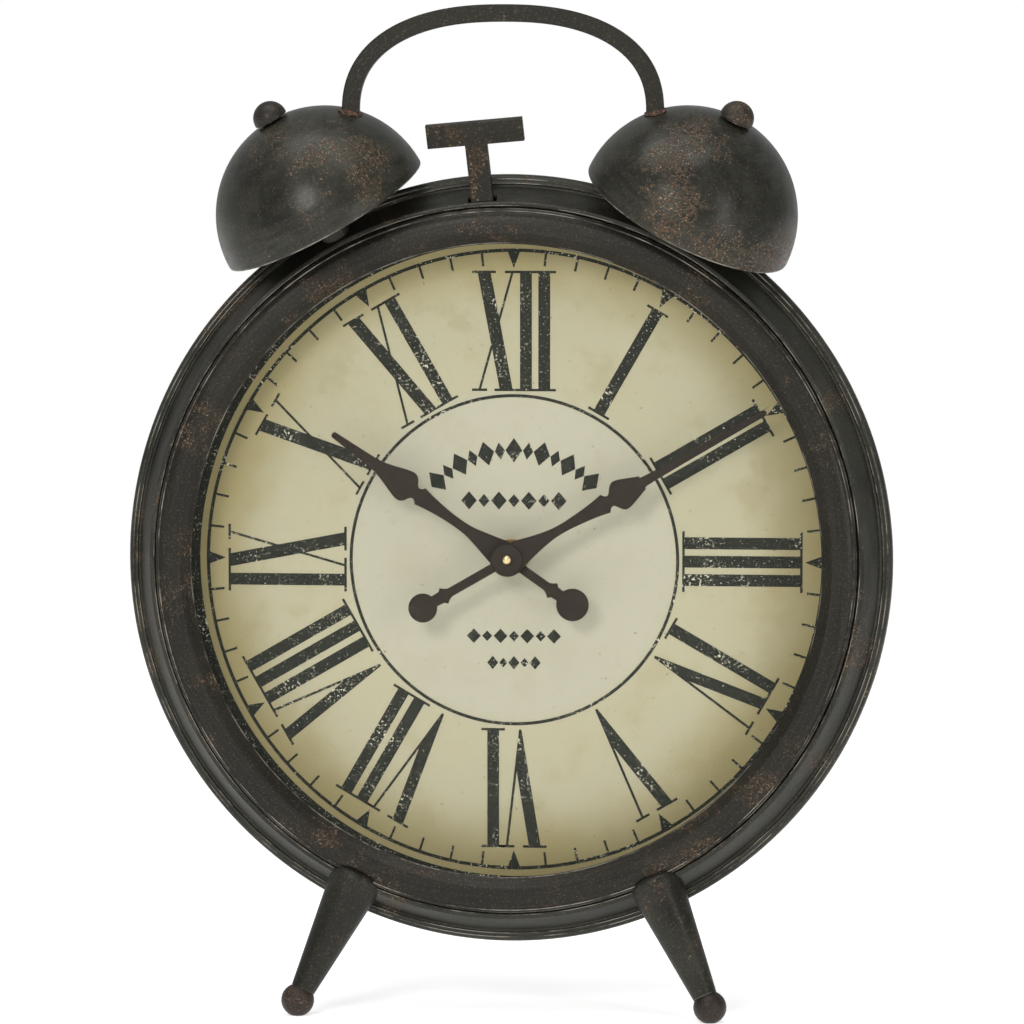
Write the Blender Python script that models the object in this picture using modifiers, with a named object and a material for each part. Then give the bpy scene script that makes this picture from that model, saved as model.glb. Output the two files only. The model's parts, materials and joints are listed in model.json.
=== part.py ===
"""Twin-bell alarm clock: a pressed-steel case on two ball-footed legs, with two bells, a carrying
handle, a rocking striker and a battery movement.

World frame: metres, +Z up, the dial faces -Y, and the origin is on the ground under the middle of
the clock. Driving sizes are in millimetres. A depth is measured backwards from the bezel's front.
"""
import math

import bmesh
import bpy
from mathutils import Matrix, Vector

MM = 0.001
GAP = 0.3                      # air left between pieces that touch

# Case, all turned about the dial's axis: (radius, depth) pairs
AXIS_HEIGHT = 229.25
MID_DEPTH = 16.5               # depth of the middle of the clock, front to back
RING_STEPS = 48
SHEET = 1.3                    # thickness of the pressed steel
BEZEL_FACE = [(158.5, 5.2), (163.4, 0.6), (165.0, 0.0), (171.0, 0.2), (173.6, 1.0), (174.4, 1.5),
              (175.2, 1.2), (176.1, 1.9), (176.4, 3.0)]
BAND_FACE = [(177.4, 3.7), (179.2, 3.7), (180.3, 5.0), (186.0, 15.6), (186.7, 17.0), (187.7, 17.3),
             (188.5, 16.7), (189.4, 17.3), (190.1, 18.2), (191.3, 18.2), (192.4, 19.2),
             (193.0, 21.0), (193.0, 23.0), (192.2, 24.4)]
DRUM_RADIUS = 183.5
DRUM_FRONT = 21.5
BACK_DEPTH = 76.0
FLANGE_INNER = 171.0
GLASS = (166.0, 6.6, 9.6)      # radius, front, back
DIAL_FRONT = 36.0
DIAL_THICK = 2.0
SPACER_RADIUS = 167.0

# Bells
BELL_ANGLE = 27.8              # either side of twelve o'clock, degrees
BELL_RIM_RADIUS = 54.7
BELL_CENTRE = (195.2, 10.0)    # distance from the dial's axis, depth
BELL_LEAN = 14.0               # degrees towards the front
BELL_WALL = 1.2
BELL_STEPS = 28
POST_RADIUS = 7.5
STUD_RADIUS = 2.0
BALL_NUT_RADIUS = 8.6

# Handle
HANDLE_DEPTH = -3.0
HANDLE_HALF_SPAN = 76.0
HANDLE_FOOT_HEIGHT = 453.0
HANDLE_RISE = 49.15
HANDLE_SQUARENESS = 2.35
HANDLE_WIDTH = 8.7
HANDLE_THICK = 5.0

# Striker, a flat tee on a pivot under the band
STRIKER_ANGLE = -3.5
STRIKER_TILT = -5.0
STRIKER_LEAN = 12.0
STRIKER_PIVOT = (172.0, 8.8)
STRIKER_THICK = 5.0
STEM_WIDTH = 11.0
STRIKER_HEIGHT = 49.0
BAR_HEIGHT = 11.7
BAR_WIDTH = 48.5
SLOT_HALF = 7.3

# Legs
FOOT_RADIUS = 8.3
FOOT_FLAT = 3.0
FOOT_X = 104.0
FOOT_DEPTH = -2.0
LEG_ANGLE = 25.2
LEG_LEAN = 10.0
LEG_TOP_RADIUS = 13.0
LEG_END_RADIUS = 6.2
LEG_SCREW_RADIUS = 2.5

# Hands: half widths against distance from the arbor
HOUR_ANGLE = 305.0
MINUTE_ANGLE = 60.0
HAND_THICK = 1.0
HOUR_FRONT = 19.5
MINUTE_FRONT = 15.5
HOUR_BLADE = [(109.0, 0.5), (108.2, 1.3), (106.8, 1.6), (84.0, 2.8), (77.0, 4.1), (70.0, 6.4),
              (65.5, 7.8), (62.5, 8.0), (60.2, 6.6), (58.8, 4.3), (57.4, 3.1), (55.8, 3.5),
              (54.6, 4.9), (48.0, 3.7), (40.0, 2.8), (32.0, 2.4), (24.0, 2.8), (16.0, 4.5)]
MINUTE_BLADE = [(150.0, 0.5), (149.2, 1.3), (147.8, 1.6), (85.0, 2.3), (78.5, 3.7), (72.5, 5.9),
                (68.0, 7.5), (65.0, 7.7), (62.8, 6.1), (61.3, 4.0), (60.0, 3.0), (58.4, 3.5),
                (57.2, 5.1), (50.0, 3.8), (42.0, 2.9), (33.0, 2.3), (25.0, 2.7), (16.0, 4.4)]
HUB_RADIUS = 8.6
HOUR_TAIL = (27.2, 39.6, 8.2)  # collar, ball centre, ball radius
MINUTE_TAIL = (37.0, 49.4, 7.3)
TAIL_HALF = 2.3

# Movement: positions are (right, up) from the arbor's axis
CASE_HALF = 29.0
CASE_FRONT = 39.3
CASE_BACK = 55.5
CASE_WALL = 1.5
BATTERY_RADIUS = 7.1
BATTERY_LENGTH = 50.0
BATTERY_UP = 19.95
BAY_FLOOR = 12.4
WHEEL_AT = (0.0, -12.0)
KNOB_AT = (12.0, -12.0)
FINE_MODULE = 0.48             # hour wheel and its pinion, 10 and 40 teeth
MOTION_MODULE = 0.50           # cannon pinion, minute wheel and setting pinion, 12, 36 and 12 teeth
PIPE_RADIUS = 2.6
PIPE_BORE = 1.9
ARBOR_RADIUS = 1.6
OPENING_HALF = 36.0

FINISHES = {                   # colour, roughness, metallic
    "aged_steel": ((0.050, 0.048, 0.043), 0.48, 0.85),
    "dark_steel": ((0.034, 0.030, 0.026), 0.60, 0.70),
    "paper": ((0.60, 0.54, 0.38), 0.85, 0.0),
    "glass": ((0.90, 0.95, 0.93), 0.05, 0.0),
    "rubber": ((0.03, 0.03, 0.03), 0.90, 0.0),
    "brass": ((0.62, 0.45, 0.18), 0.30, 1.0),
    "zinc": ((0.45, 0.45, 0.44), 0.40, 1.0),
    "black_plastic": ((0.03, 0.03, 0.03), 0.55, 0.0),
    "white_plastic": ((0.75, 0.74, 0.70), 0.45, 0.0),
    "copper": ((0.60, 0.25, 0.12), 0.35, 1.0),
    "green_board": ((0.02, 0.16, 0.06), 0.50, 0.0),
    "battery_jacket": ((0.10, 0.11, 0.12), 0.35, 0.2),
}


def place(right, depth, height):
    """World position, in metres, of a point given across, behind the bezel's front and up."""
    return Vector((right, depth - MID_DEPTH, height)) * MM


def round_dial(radius, angle, depth):
    """World position of a point at a clock angle (degrees from twelve) and a depth."""
    turn = math.radians(angle)
    return place(radius * math.sin(turn), depth, AXIS_HEIGHT + radius * math.cos(turn))


def leaning_frame(origin, angle, lean):
    """Frame whose Z points out along a clock angle and leans to the front, and whose X is clockwise."""
    turn, tip = math.radians(angle), math.radians(lean)
    out = Vector((math.sin(turn) * math.cos(tip), -math.sin(tip), math.cos(turn) * math.cos(tip)))
    across = Vector((math.cos(turn), 0.0, -math.sin(turn)))
    axes = Matrix((across, out.cross(across), out)).transposed()
    return Matrix.Translation(origin) @ axes.to_4x4()


def facing_frame(right, up, depth, spin=0.0):
    """Frame of the dial: X right, Y up and Z to the front, turned clockwise by spin degrees."""
    stand = Matrix.Rotation(math.radians(90.0), 4, "X")
    turn = Matrix.Rotation(-math.radians(spin), 4, "Z")
    return Matrix.Translation(place(right, depth, AXIS_HEIGHT + up)) @ stand @ turn


def clear_scene():
    for obj in list(bpy.data.objects):
        bpy.data.objects.remove(obj, do_unlink=True)


def collection(name):
    made = bpy.data.collections.new(name)
    bpy.context.scene.collection.children.link(made)
    return made


def finish_material(node, finish):
    colour, roughness, metallic = FINISHES[finish]
    material = bpy.data.materials.new(f"{node}_{finish}")
    material.use_nodes = True
    shader = material.node_tree.nodes["Principled BSDF"]
    shader.inputs["Base Color"].default_value = (*colour, 1.0)
    shader.inputs["Roughness"].default_value = roughness
    shader.inputs["Metallic"].default_value = metallic
    if finish == "glass":
        shader.inputs["Transmission Weight"].default_value = 1.0
    return material


def add(name, data, frame, finish):
    """Put mesh or curve data in the scene as a named part, or as a cutter if it has no finish."""
    obj = bpy.data.objects.new(name, data)
    obj.location = frame.to_translation()
    obj.rotation_euler = frame.to_euler()
    if finish:
        PARTS.objects.link(obj)
        data.materials.append(finish_material(name, finish))
    else:
        CUTTERS.objects.link(obj)
        obj.hide_render = True
        obj.display_type = "WIRE"
    return obj


def clockwise(points):
    """The closed outline's points in clockwise order, so that its outer side runs downwards."""
    area = sum(a[0] * b[1] - b[0] * a[1] for a, b in zip(points, points[1:] + points[:1]))
    return points if area < 0 else points[::-1]


def turned(name, profile, steps, frame, finish):
    """Turn a closed outline of (radius, height) about the frame's Z. Points on the axis stay open."""
    points = clockwise(profile)
    on_axis = [i for i, (radius, _) in enumerate(points) if radius == 0.0]
    if on_axis:
        start = next(i for i in on_axis if points[i - 1][0] == 0.0)
        points = points[start:] + points[:start]
    mesh = bpy.data.meshes.new(name)
    links = [(i, i + 1) for i in range(len(points) - 1)]
    if not on_axis:
        links.append((len(points) - 1, 0))
    mesh.from_pydata([(radius * MM, 0.0, height * MM) for radius, height in points], links, [])
    obj = add(name, mesh, frame, finish)
    screw = obj.modifiers.new("Turn", "SCREW")
    screw.steps = steps
    screw.render_steps = steps
    screw.use_merge_vertices = True
    screw.merge_threshold = 0.00001
    screw.use_smooth_shade = True
    return obj


def ring(name, profile, finish, steps=RING_STEPS):
    """A piece turned about the dial's axis, from (radius, depth) pairs."""
    outline = [(radius, -depth) for radius, depth in profile]
    return turned(name, outline, steps, facing_frame(0.0, 0.0, 0.0), finish)


def rod(name, radius, low, high, frame, finish, steps=20):
    """A plain cylinder along the frame's Z."""
    mesh = bpy.data.meshes.new(name)
    work = bmesh.new()
    bmesh.ops.create_cone(work, cap_ends=True, segments=steps, radius1=radius * MM,
                          radius2=radius * MM, depth=(high - low) * MM)
    bmesh.ops.translate(work, verts=work.verts, vec=(0.0, 0.0, (low + high) / 2 * MM))
    work.to_mesh(mesh)
    work.free()
    return add(name, mesh, frame, finish)


def box(name, low, high, frame, finish):
    """A box between two corners given in the frame."""
    mesh = bpy.data.meshes.new(name)
    work = bmesh.new()
    bmesh.ops.create_cube(work, size=1.0)
    size = [(b - a) * MM for a, b in zip(low, high)]
    middle = [(a + b) / 2 * MM for a, b in zip(low, high)]
    bmesh.ops.scale(work, verts=work.verts, vec=size)
    bmesh.ops.translate(work, verts=work.verts, vec=middle)
    work.to_mesh(mesh)
    work.free()
    return add(name, mesh, frame, finish)


def plate(name, outlines, thickness, frame, finish):
    """A flat piece behind the frame's origin: the first outline is its edge, the others are holes."""
    curve = bpy.data.curves.new(name, "CURVE")
    curve.dimensions = "2D"
    curve.fill_mode = "BOTH"
    curve.extrude = thickness / 2 * MM
    for outline in outlines:
        spline = curve.splines.new("POLY")
        spline.points.add(len(outline) - 1)
        for point, (x, y) in zip(spline.points, outline):
            point.co = (x * MM, y * MM, 0.0, 1.0)
        spline.use_cyclic_u = True
    sunk = frame @ Matrix.Translation((0.0, 0.0, -thickness / 2 * MM))
    return add(name, curve, sunk, finish)


def meshed(obj):
    """Turn a plate into a mesh of one closed body, so that it can be cut and joined."""
    name, finish = obj.name, obj.data.materials[0] if obj.data.materials else None
    bpy.context.view_layer.update()
    ready = obj.evaluated_get(bpy.context.evaluated_depsgraph_get())
    mesh = bpy.data.meshes.new_from_object(ready)
    work = bmesh.new()
    work.from_mesh(mesh)
    bmesh.ops.remove_doubles(work, verts=work.verts, dist=0.000001)
    work.to_mesh(mesh)
    work.free()
    placed, home = obj.matrix_world.copy(), obj.users_collection[0]
    bpy.data.objects.remove(obj, do_unlink=True)
    made = bpy.data.objects.new(name, mesh)
    made.name = name
    made.matrix_world = placed
    if finish and not mesh.materials:
        mesh.materials.append(finish)
    home.objects.link(made)
    if home == CUTTERS:
        made.hide_render = True
        made.display_type = "WIRE"
    return made


def combine(obj, other, operation):
    """Cut obj by another object, or join the other one to it."""
    step = obj.modifiers.new(f"{operation.title()} {other.name}", "BOOLEAN")
    step.operation = operation
    step.object = other
    step.solver = "EXACT"
    return obj


def cut(obj, *cutters):
    for cutter in cutters:
        combine(obj, cutter, "DIFFERENCE")
    return obj


def arc(radius, start, end, count, across=0.0, up=0.0):
    """Points of an arc from one angle to another, in degrees anticlockwise from the right."""
    angles = [math.radians(start + (end - start) * i / (count - 1)) for i in range(count)]
    return [(across + radius * math.cos(a), up + radius * math.sin(a)) for a in angles]


def circle(radius, count, across=0.0, up=0.0):
    return arc(radius, 0.0, 360.0 * (count - 1) / count, count, across, up)


def rounded(low, high, radius, count=4):
    """A rectangle with round corners."""
    corners = [(high[0], high[1], 0.0), (low[0], high[1], 90.0), (low[0], low[1], 180.0),
               (high[0], low[1], 270.0)]
    points = []
    for x, y, start in corners:
        inner_x = x - math.copysign(radius, x - (low[0] + high[0]) / 2)
        inner_y = y - math.copysign(radius, y - (low[1] + high[1]) / 2)
        points += arc(radius, start, start + 90.0, count, inner_x, inner_y)
    return points


def grown(path, distance):
    """A path of (radius, depth) moved off its face by a distance; it runs from front to back."""
    moved = []
    for i, (radius, depth) in enumerate(path):
        before, after = path[max(i - 1, 0)], path[min(i + 1, len(path) - 1)]
        run = math.hypot(after[0] - before[0], after[1] - before[1])
        moved.append((radius + distance * (after[1] - before[1]) / run,
                      depth - distance * (after[0] - before[0]) / run))
    return moved


def case_envelope(clearance):
    """A cutter that holds the whole case front and drum with a clearance, for saddle-shaped feet."""
    face = grown(BEZEL_FACE + BAND_FACE, clearance)
    drum = DRUM_RADIUS + clearance
    core = 120.0
    back = [(drum, face[-1][1] + SHEET), (drum, BACK_DEPTH), (core, BACK_DEPTH), (core, face[0][1])]
    return ring("case_envelope", face + back, None)


def build_case():
    skin = grown(BEZEL_FACE, -SHEET)[::2]
    skin[-1] = (175.7, 3.4)
    ring("bezel", BEZEL_FACE + skin[::-1], "aged_steel")

    skin = grown(BAND_FACE, -SHEET)
    skin[0] = (176.6, 5.1)
    skin[-1] = (190.8, 24.0)
    tuck = [(189.9, 21.4), (184.1, 21.0)]
    inner = skin[:5] + [(184.1, 18.0)]
    band = ring("case_ring", BAND_FACE + [skin[-1]] + tuck + inner[::-1], "aged_steel")

    drum_profile = [(DRUM_RADIUS, DRUM_FRONT), (DRUM_RADIUS, BACK_DEPTH - 1.5),
                    (FLANGE_INNER, BACK_DEPTH - 1.5), (FLANGE_INNER, BACK_DEPTH - 2.7),
                    (DRUM_RADIUS - 1.2, BACK_DEPTH - 2.7)]
    seat = DIAL_FRONT + DIAL_THICK + GAP
    bead = [(DRUM_RADIUS - 1.2, seat + 3.0), (DRUM_RADIUS - 4.5, seat + 1.6),
            (DRUM_RADIUS - 4.5, seat), (DRUM_RADIUS - 1.2, seat), (DRUM_RADIUS - 1.2, DRUM_FRONT)]
    drum = ring("case_drum", drum_profile + bead, "aged_steel")

    radius, front, back = GLASS
    ring("glass_lens", [(0.0, front), (radius, front), (radius, back), (0.0, back)], "glass")
    inner, start = 160.5, back + GAP
    gasket = [(inner, start), (radius, start), (radius, start + 1.5), (inner, start + 1.5)]
    ring("glass_gasket", gasket, "rubber", 36)
    start += 1.5 + GAP
    spacer = [(161.5, start), (SPACER_RADIUS, start), (SPACER_RADIUS, DIAL_FRONT - GAP),
              (SPACER_RADIUS - 1.2, DIAL_FRONT - GAP), (SPACER_RADIUS - 1.2, start + 1.2),
              (161.5, start + 1.2)]
    ring("dial_spacer_ring", spacer, "dark_steel", 36)
    disc = [circle(DRUM_RADIUS - 1.2 - GAP, RING_STEPS), circle(4.3, 20)]
    plate("dial", disc, DIAL_THICK, facing_frame(0.0, 0.0, DIAL_FRONT), "paper")
    return band, drum


def build_back(drum):
    hole_ring, hole_radius, head_radius = 177.2, 2.1, 3.6
    places = [(hole_ring * math.sin(math.radians(a)), hole_ring * math.cos(math.radians(a)))
              for a in range(30, 390, 60)]
    access = rounded((-OPENING_HALF, -OPENING_HALF), (OPENING_HALF, OPENING_HALF), 8.0)
    hanger_up = 140.0
    window = rounded((-11.0, hanger_up - 17.0), (11.0, hanger_up + 15.0), 4.0)
    holes = [circle(hole_radius, 8, x, y) for x, y in places]
    plate("back_cover", [circle(DRUM_RADIUS, RING_STEPS), access, window, *holes], 1.2,
          facing_frame(0.0, 0.0, BACK_DEPTH - 1.2), "dark_steel")

    slot, eye = 2.6, 5.5
    neck = math.degrees(math.asin(slot / eye))
    keyhole = arc(slot, 0.0, 180.0, 7, 0.0, hanger_up + 9.0)
    keyhole += arc(eye, 90.0 + neck, 450.0 - neck, 13, 0.0, hanger_up - 5.0)
    plate_edge = rounded((-20.0, hanger_up - 24.0), (20.0, hanger_up + 22.0), 4.0)
    plate("hanger_plate", [plate_edge, keyhole], 1.2,
          facing_frame(0.0, 0.0, BACK_DEPTH - 2.7), "zinc")

    for number, (x, y) in enumerate(places, 1):
        frame = facing_frame(x, y, BACK_DEPTH + 0.2)
        shape = [(0.0, -1.6), (head_radius - 1.0, -1.6), (head_radius, -0.6), (head_radius, 0.0),
                 (1.6, 0.0), (1.6, 7.0), (0.0, 7.0)]
        turned(f"back_screw_{number}", shape, 8, frame, "zinc")
        bore = rod(f"back_screw_hole_{number}", hole_radius, 0.0, 6.0, frame, None, 8)
        cut(drum, bore)


def bell_frame(side):
    centre = round_dial(BELL_CENTRE[0], side * BELL_ANGLE, BELL_CENTRE[1])
    return leaning_frame(centre, side * BELL_ANGLE, BELL_LEAN)


def dome_arc(radius, bore, count):
    """Profile of a dome from its central bore down to the rim."""
    start = math.degrees(math.acos(bore / radius))
    return arc(radius, start, 0.0, count)


def build_bell(side, label, band, envelope):
    frame = bell_frame(side)
    bore = STUD_RADIUS + GAP
    inner_radius = BELL_RIM_RADIUS - BELL_WALL
    shell = dome_arc(BELL_RIM_RADIUS, bore, 8) + dome_arc(inner_radius, bore, 8)[::-1]
    turned(f"bell_{label}", shell, BELL_STEPS, frame, "aged_steel")

    top = math.sqrt(inner_radius ** 2 - POST_RADIUS ** 2) - 1.0
    tube = [(bore, top), (POST_RADIUS, top), (POST_RADIUS, -20.0), (bore, -20.0)]
    post = turned(f"bell_post_{label}", tube, 20, frame, "dark_steel")
    cut(post, envelope)

    head, shank_top = -14.8, BELL_RIM_RADIUS + 5.0
    stud = [(0.0, head - 2.2), (3.4, head - 2.2), (3.4, head), (STUD_RADIUS, head),
            (STUD_RADIUS, shank_top), (0.0, shank_top)]
    turned(f"bell_stud_{label}", stud, 12, frame, "zinc")
    cut(band, rod(f"stud_hole_{label}", bore, head, 0.0, frame, None, 12))

    seat = BELL_RIM_RADIUS + GAP
    foot = 4.6
    start = math.degrees(math.asin((seat + 1.0 - BELL_RIM_RADIUS - 1.5) / BALL_NUT_RADIUS))
    ball = arc(BALL_NUT_RADIUS, start, 86.0, 7, 0.0, BELL_RIM_RADIUS + 1.5)
    nut = [(foot, seat)] + ball + [(0.0, ball[-1][1]), (0.0, shank_top + GAP),
                                   (bore, shank_top + GAP), (bore, seat)]
    turned(f"bell_ball_nut_{label}", nut, 16, frame, "aged_steel")


def handle_line(offset, count=33):
    """The handle's arch: a superellipse, moved outwards by an offset."""
    points, power = [], 2.0 / HANDLE_SQUARENESS
    for i in range(count):
        turn = math.pi * i / (count - 1)
        c, s = math.cos(turn), math.sin(turn)
        points.append((math.copysign(abs(c) ** power, c) * HANDLE_HALF_SPAN, s ** power * HANDLE_RISE))
    moved = []
    for i, (x, y) in enumerate(points):
        before, after = points[max(i - 1, 0)], points[min(i + 1, count - 1)]
        run = math.hypot(after[0] - before[0], after[1] - before[1])
        moved.append((x + offset * (after[1] - before[1]) / run,
                      y - offset * (after[0] - before[0]) / run))
    return moved


def build_handle():
    half, below = HANDLE_WIDTH / 2, 6.0
    outer, inner = handle_line(half), handle_line(-half)
    right_foot = [(inner[0][0], -below), (outer[0][0], -below)]
    left_foot = [(outer[-1][0], -below), (inner[-1][0], -below)]
    outline = outer + left_foot + inner[::-1] + right_foot
    up = HANDLE_FOOT_HEIGHT - AXIS_HEIGHT
    frame = facing_frame(0.0, up, HANDLE_DEPTH - HANDLE_THICK / 2)
    handle = meshed(plate("handle", [outline], HANDLE_THICK, frame, "dark_steel"))
    for side, label in ((-1, "left"), (1, "right")):
        ball = [(0.0, BELL_RIM_RADIUS + GAP)] + arc(BELL_RIM_RADIUS + GAP, 85.0, 0.0, 16)
        cutter = turned(f"dome_space_{label}", ball + [(0.0, 0.0)], 48, bell_frame(side), None)
        cut(handle, cutter)


def build_striker(band):
    origin = round_dial(STRIKER_PIVOT[0], STRIKER_ANGLE, STRIKER_PIVOT[1])
    frame = leaning_frame(origin, STRIKER_TILT, STRIKER_LEAN)
    flat = frame @ Matrix.Rotation(math.radians(90.0), 4, "X")
    face = flat @ Matrix.Translation((0.0, 0.0, STRIKER_THICK / 2 * MM))
    stem, bar, shoulder, foot = STEM_WIDTH / 2, BAR_WIDTH / 2, 5.0, 4.0
    bar_low = STRIKER_HEIGHT - BAR_HEIGHT
    outline = arc(foot, 180.0, 360.0, 9) + [
        (foot, shoulder - 1.0), (stem, shoulder), (stem, bar_low), (bar, bar_low),
        (bar, STRIKER_HEIGHT), (-bar, STRIKER_HEIGHT), (-bar, bar_low), (-stem, bar_low),
        (-stem, shoulder), (-foot, shoulder - 1.0)]
    plate("hammer", [outline, circle(1.8, 12)], STRIKER_THICK, face, "dark_steel")

    back = STRIKER_THICK / 2 + 0.5
    ear = arc(3.6, 200.0, 340.0, 7) + [(5.0, 4.0), (5.0, 8.4), (-5.0, 8.4), (-5.0, 4.0)]
    ear_face = flat @ Matrix.Translation((0.0, 0.0, -back * MM))
    plate("hammer_bracket", [ear, circle(1.75, 12)], 1.5, ear_face, "zinc")
    pin = [(0.0, 4.0), (2.9, 4.0), (2.9, 3.0), (1.5, 3.0), (1.5, -5.2), (0.0, -5.2)]
    turned("hammer_pin", pin, 12, flat, "zinc")
    depth = STRIKER_THICK / 2 + 0.45
    cut(band, box("hammer_slot", (-SLOT_HALF, -depth, 4.6), (SLOT_HALF, depth, 20.0), frame, None))


def build_leg(side, label, band, envelope):
    centre_up = math.sqrt(FOOT_RADIUS ** 2 - FOOT_FLAT ** 2)
    centre = place(side * FOOT_X, FOOT_DEPTH, centre_up)
    frame = leaning_frame(centre, 180.0 - side * LEG_ANGLE, LEG_LEAN)

    ball_arc = arc(FOOT_RADIUS, 84.0, -math.degrees(math.acos(FOOT_FLAT / FOOT_RADIUS)), 10)
    ball = [(0.0, ball_arc[0][1])] + ball_arc + [(0.0, ball_arc[-1][1])]
    upright = Matrix.Translation(centre)
    turned(f"foot_ball_{label}", ball, 16, upright, "aged_steel")

    length = 72.0
    cone = [(0.0, -3.0), (LEG_END_RADIUS - 0.4, -3.0), (LEG_TOP_RADIUS + 0.7, -length), (0.0, -length)]
    leg = turned(f"leg_{label}", cone, 20, frame, "aged_steel")
    space = arc(FOOT_RADIUS + GAP, 84.0, -84.0, 11)
    space = [(0.0, space[0][1])] + space + [(0.0, space[-1][1])]
    screw_end, head = -44.0, -67.0
    bore = LEG_SCREW_RADIUS + GAP
    hole = rod(f"leg_hole_{label}", bore, head - 8.0, screw_end + GAP, frame, None, 12)
    cut(leg, turned(f"foot_space_{label}", space, 16, upright, None), envelope, hole)
    cut(band, hole)
    screw = [(0.0, screw_end), (LEG_SCREW_RADIUS, screw_end), (LEG_SCREW_RADIUS, head),
             (3.3, head), (3.3, head - 2.0), (0.0, head - 2.0)]
    turned(f"leg_screw_{label}", screw, 12, frame, "zinc")


def hand_outline(blade, tail):
    """Edge of a hand pointing up: its blade, the hub and a tail with a collar and a ball."""
    collar, ball_at, ball = tail
    hub = math.degrees(math.asin(TAIL_HALF / HUB_RADIUS))
    neck = 2.9
    gap_angle = math.degrees(math.asin(neck / ball))
    left = [(-half, along) for along, half in blade]
    left += arc(HUB_RADIUS, 150.0, 270.0 - hub, 7)
    left += [(-TAIL_HALF, -(collar - 3.4)), (-TAIL_HALF - 0.9, -(collar - 1.6)), (-4.5, -collar),
             (-3.1, -(collar + 1.4))]
    left += arc(ball, 90.0 + gap_angle, 270.0, 11, 0.0, -ball_at)
    right = [(-x, y) for x, y in left[:-1][::-1]]
    return left + right


def build_hands():
    hour = hand_outline(HOUR_BLADE, HOUR_TAIL)
    plate("hour_hand", [hour, circle(PIPE_RADIUS + 0.2, 16)], HAND_THICK,
          facing_frame(0.0, 0.0, HOUR_FRONT, HOUR_ANGLE), "dark_steel")
    minute = hand_outline(MINUTE_BLADE, MINUTE_TAIL)
    plate("minute_hand", [minute, circle(ARBOR_RADIUS + 0.2, 16)], HAND_THICK,
          facing_frame(0.0, 0.0, MINUTE_FRONT, MINUTE_ANGLE), "dark_steel")
    washer = [(ARBOR_RADIUS + 0.2, 14.4), (7.8, 14.4), (7.8, 15.2), (ARBOR_RADIUS + 0.2, 15.2)]
    ring("hand_washer", washer, "dark_steel", 16)
    cap = [(0.0, 12.6), (1.3, 12.6), (2.3, 13.2), (2.3, 14.1), (ARBOR_RADIUS + 0.2, 14.1),
           (ARBOR_RADIUS + 0.2, 13.5), (0.0, 13.5)]
    ring("hand_nut", cap, "brass", 16)


def gear_outline(teeth, module, phase=0.0):
    """A spur gear's edge with slim straight-sided teeth; phase is the first tooth's angle."""
    pitch = teeth * module / 2
    tip, root = pitch + 0.85 * module, pitch - 1.2 * module
    points = []
    for tooth in range(teeth):
        middle = phase + 360.0 * tooth / teeth
        for half, radius in ((-0.27, root), (-0.11, tip), (0.11, tip), (0.27, root)):
            turn = math.radians(middle + half * 360.0 / teeth)
            points.append((radius * math.cos(turn), radius * math.sin(turn)))
    return points


def build_motion_work():
    # The centre line runs straight down from the arbor to the minute wheel: a tooth of each pinion
    # lies on it, and a gap of the wheel that it drives.
    down, level = 270.0, 0.0
    shaft = [(0.0, 13.8), (ARBOR_RADIUS, 13.8), (ARBOR_RADIUS, 46.6), (0.0, 46.6)]
    arbor = ring("minute_arbor", shaft, "brass", 16)
    pinion = meshed(plate("cannon_pinion", [gear_outline(12, MOTION_MODULE, down)], 2.0,
                          facing_frame(0.0, 0.0, 44.4), None))
    combine(arbor, pinion, "UNION")

    pipe = [(PIPE_BORE, 18.3), (PIPE_RADIUS, 18.3), (PIPE_RADIUS, 43.6), (PIPE_BORE, 43.6)]
    hour = ring("hour_wheel", pipe, "white_plastic", 16)
    hour_edge = gear_outline(40, FINE_MODULE, down + 180.0 / 40)
    hour_gear = meshed(plate("hour_gear", [hour_edge, circle((PIPE_BORE + PIPE_RADIUS) / 2, 16)], 1.4,
                             facing_frame(0.0, 0.0, 42.0), None))
    combine(hour, hour_gear, "UNION")

    at = facing_frame(*WHEEL_AT, 0.0)
    pivot = [(0.0, -41.1), (1.0, -41.1), (1.0, -47.0), (0.0, -47.0)]
    wheel = turned("minute_wheel", pivot, 12, at, "white_plastic")
    up = 90.0
    large = meshed(plate("minute_gear", [gear_outline(36, MOTION_MODULE, up + 5.0)], 1.4,
                         facing_frame(*WHEEL_AT, 44.7), None))
    small = meshed(plate("minute_pinion", [gear_outline(10, FINE_MODULE, up)], 2.2,
                         facing_frame(*WHEEL_AT, 41.6), None))
    combine(wheel, large, "UNION")
    combine(wheel, small, "UNION")

    spindle = [(0.0, -41.1), (1.2, -41.1), (1.2, -58.4), (5.6, -58.4), (6.2, -59.0), (6.2, -63.0),
               (5.6, -63.6), (0.0, -63.6)]
    knob = turned("set_knob", spindle, 20, facing_frame(*KNOB_AT, 0.0), "black_plastic")
    setter = meshed(plate("setting_pinion", [gear_outline(12, MOTION_MODULE, 180.0)], 1.8,
                          facing_frame(*KNOB_AT, 44.5), None))
    combine(knob, setter, "UNION")


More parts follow.
